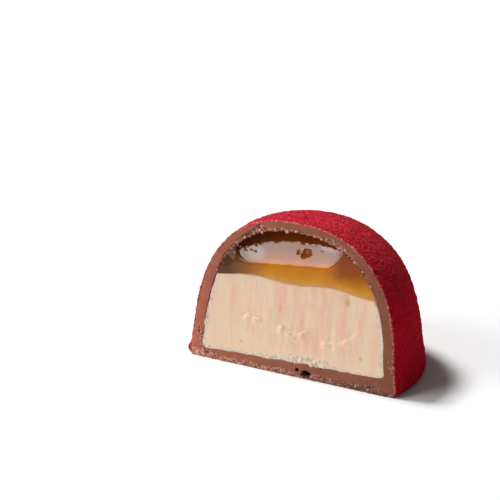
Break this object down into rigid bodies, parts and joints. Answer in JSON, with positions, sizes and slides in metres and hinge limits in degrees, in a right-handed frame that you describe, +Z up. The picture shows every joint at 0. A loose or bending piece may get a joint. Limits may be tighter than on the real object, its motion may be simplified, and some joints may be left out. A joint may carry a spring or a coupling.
{
  "type": "cut chocolate praline",
  "caption": "Dome-shaped chocolate praline with a velvet coat, cut open to show its chocolate shell, pale fruit cream and glossy caramel jelly",
  "frame": {"origin": "on the dome's axis, at the underside of the base cap that the praline stands on", "axes": "+Z up along the dome's axis; +X along the cut face, to the right as the cut face is looked at; the cut face looks towards -Y"},
  "size_m": [0.03, 0.0187, 0.0194],
  "materials": {
    "velvet_coat": "cocoa butter velvet spray, matt with a fine grain, deep red",
    "chocolate": "milk chocolate, satin where the knife cut it and crumbly where it broke",
    "cream": "pale pinkish cream, soft and faintly moist",
    "caramel": "clear amber caramel jelly, wet and glossy"
  },
  "bodies": {
    "root": {"velvet_coat": "velvet_coat", "chocolate_shell": "chocolate", "cream_filling": "cream", "caramel_layer": "caramel"}
  },
  "joints": []
}
